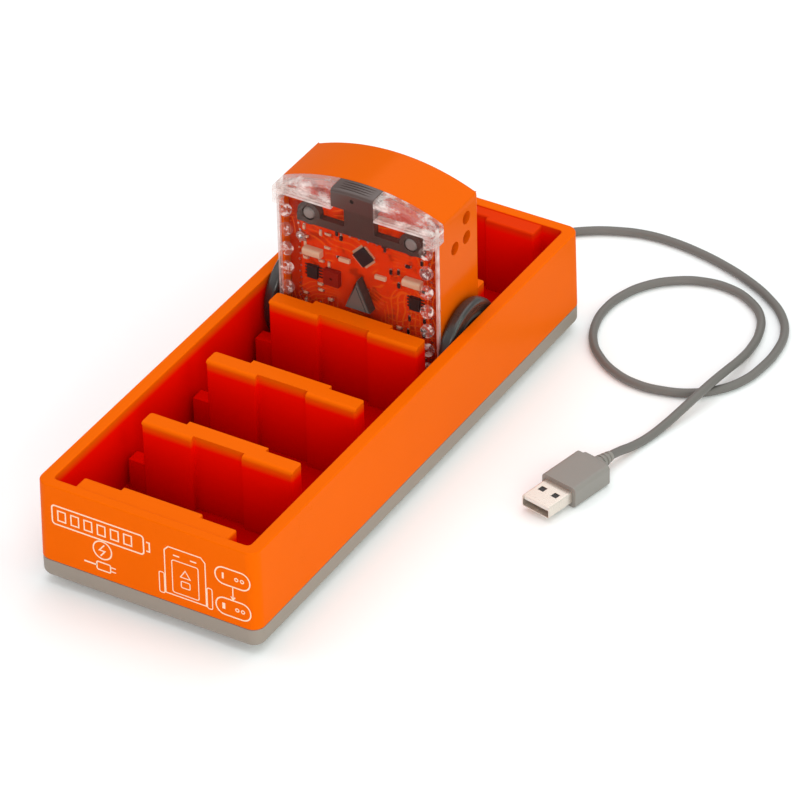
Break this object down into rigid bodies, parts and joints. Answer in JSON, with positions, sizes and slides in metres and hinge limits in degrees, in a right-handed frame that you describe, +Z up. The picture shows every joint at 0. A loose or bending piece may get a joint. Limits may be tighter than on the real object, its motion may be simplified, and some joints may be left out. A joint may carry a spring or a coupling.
{
  "type": "charging dock with coding robot",
  "caption": "Long five-slot charging tray on a grey base with one wheeled coding robot standing nose-up in a slot and a free supply cord ending in a USB plug.",
  "frame": {"origin": "centre of the tray's footprint, on the table", "axes": "+X right across the tray seen from its printed end, +Y towards the end the cord leaves, +Z up; the robot stands nose-up with its clear face towards -Y"},
  "size_m": [0.1573, 0.2802, 0.0906],
  "materials": {
    "tray_orange": "satin moulded orange",
    "base_grey": "fine matte",
    "foot_rubber": "matte",
    "screw_steel": "plated",
    "green_board": "solder mask over glass fibre",
    "chip_black": "matte",
    "contact_gold": "gold plated",
    "cord_grey": "soft matte vinyl",
    "plug_metal": "nickel plated",
    "tongue_white": "matte",
    "robot_orange": "gloss",
    "clear_plastic": "clear moulded plastic",
    "dark_window": "smoked gloss",
    "bar_grey": "satin",
    "lamp_lens": "milky clear",
    "robot_board": "solder mask over glass fibre",
    "capacitor_tan": "ceramic",
    "buzzer_red": "matte",
    "switch_metal": "stamped",
    "button_grey": "soft touch",
    "battery_wrap": "shrink wrap",
    "motor_steel": "plated can",
    "frame_white": "acetal",
    "pinion_brass": "machined",
    "hub_grey": "satin",
    "tyre_rubber": "matte"
  },
  "bodies": {
    "dock": {"tray_shell": "tray_orange", "divider_1": "tray_orange", "divider_2": "tray_orange", "divider_3": "tray_orange", "divider_4": "tray_orange", "base_cover": "base_grey", "rubber_feet": "foot_rubber", "base_screws": "screw_steel", "charger_board": "green_board", "charge_chips": "chip_black", "contact_pins": "contact_gold", "cord_gland": "cord_grey", "cord": "cord_grey", "plug_relief": "cord_grey", "plug_grip": "cord_grey", "plug_shell": "plug_metal", "plug_tongue": "tongue_white", "plug_contacts": "contact_gold"},
    "robot": {"robot_shell": "robot_orange", "clear_cover": "clear_plastic", "receiver_window": "dark_window", "sensor_bar": "bar_grey", "nose_lamps": "lamp_lens", "circuit_board": "robot_board", "board_screws": "screw_steel", "processor_chip": "chip_black", "driver_chips": "chip_black", "capacitors": "capacitor_tan", "buzzer": "buzzer_red", "button_switches": "switch_metal", "battery_pack": "battery_wrap", "battery_door": "robot_orange", "motor_left": "motor_steel", "motor_right": "motor_steel", "gear_frame_left": "frame_white", "gear_frame_right": "frame_white", "idler_pins": "screw_steel", "line_sensor": "chip_black", "front_skid": "bar_grey", "charge_pads": "contact_gold"},
    "play_key": {"play_button": "button_grey"},
    "stop_key": {"stop_button": "button_grey"},
    "record_key": {"record_button": "button_grey"},
    "switch_slider": {"power_switch": "chip_black"},
    "left_wheel": {"axle_left": "screw_steel", "axle_gear_left": "frame_white", "wheel_hub_left": "hub_grey", "tyre_left": "tyre_rubber"},
    "right_wheel": {"axle_right": "screw_steel", "axle_gear_right": "frame_white", "wheel_hub_right": "hub_grey", "tyre_right": "tyre_rubber"},
    "left_idler": {"idler_gear_left": "frame_white"},
    "right_idler": {"idler_gear_right": "frame_white"},
    "left_pinion": {"motor_pinion_left": "pinion_brass"},
    "right_pinion": {"motor_pinion_right": "pinion_brass"}
  },
  "joints": [
    {"name": "robot_lift", "type": "slide", "parent": "dock", "child": "robot", "axis": [0, 0, 1], "range_m": [0, 0.06]},
    {"name": "left_wheel_spin", "type": "hinge", "parent": "robot", "child": "left_wheel", "pos_m": [-0.035, 0.0423, 0.0298], "axis": [1, 0, 0], "continuous": true},
    {"name": "left_idler_spin", "type": "hinge", "parent": "robot", "child": "left_idler", "pos_m": [-0.024, 0.0423, 0.03936], "axis": [1, 0, 0], "continuous": true},
    {"name": "left_pinion_spin", "type": "hinge", "parent": "robot", "child": "left_pinion", "pos_m": [-0.024, 0.0423, 0.04892], "axis": [1, 0, 0], "continuous": true},
    {"name": "right_wheel_spin", "type": "hinge", "parent": "robot", "child": "right_wheel", "pos_m": [0.035, 0.0423, 0.0298], "axis": [1, 0, 0], "continuous": true},
    {"name": "right_idler_spin", "type": "hinge", "parent": "robot", "child": "right_idler", "pos_m": [0.024, 0.0423, 0.03936], "axis": [1, 0, 0], "continuous": true},
    {"name": "right_pinion_spin", "type": "hinge", "parent": "robot", "child": "right_pinion", "pos_m": [0.024, 0.0423, 0.04892], "axis": [1, 0, 0], "continuous": true},
    {"name": "play_press", "type": "slide", "parent": "robot", "child": "play_key", "axis": [0, 1, 0], "range_m": [0, 0.0006], "stiffness_N_per_m": 400, "springref_m": -0.0003},
    {"name": "stop_press", "type": "slide", "parent": "robot", "child": "stop_key", "axis": [0, 1, 0], "range_m": [0, 0.0006], "stiffness_N_per_m": 400, "springref_m": -0.0003},
    {"name": "record_press", "type": "slide", "parent": "robot", "child": "record_key", "axis": [0, 1, 0], "range_m": [0, 0.0006], "stiffness_N_per_m": 400, "springref_m": -0.0003},
    {"name": "power_slide", "type": "slide", "parent": "robot", "child": "switch_slider", "axis": [1, 0, 0], "range_m": [0, 0.003]}
  ],
  "couplings": [
    {"joint": "left_idler_spin", "follows": "left_wheel_spin", "ratio": -2.1667},
    {"joint": "left_pinion_spin", "follows": "left_wheel_spin", "ratio": 4.6944},
    {"joint": "right_idler_spin", "follows": "right_wheel_spin", "ratio": -2.1667},
    {"joint": "right_pinion_spin", "follows": "right_wheel_spin", "ratio": 4.6944}
  ]
}
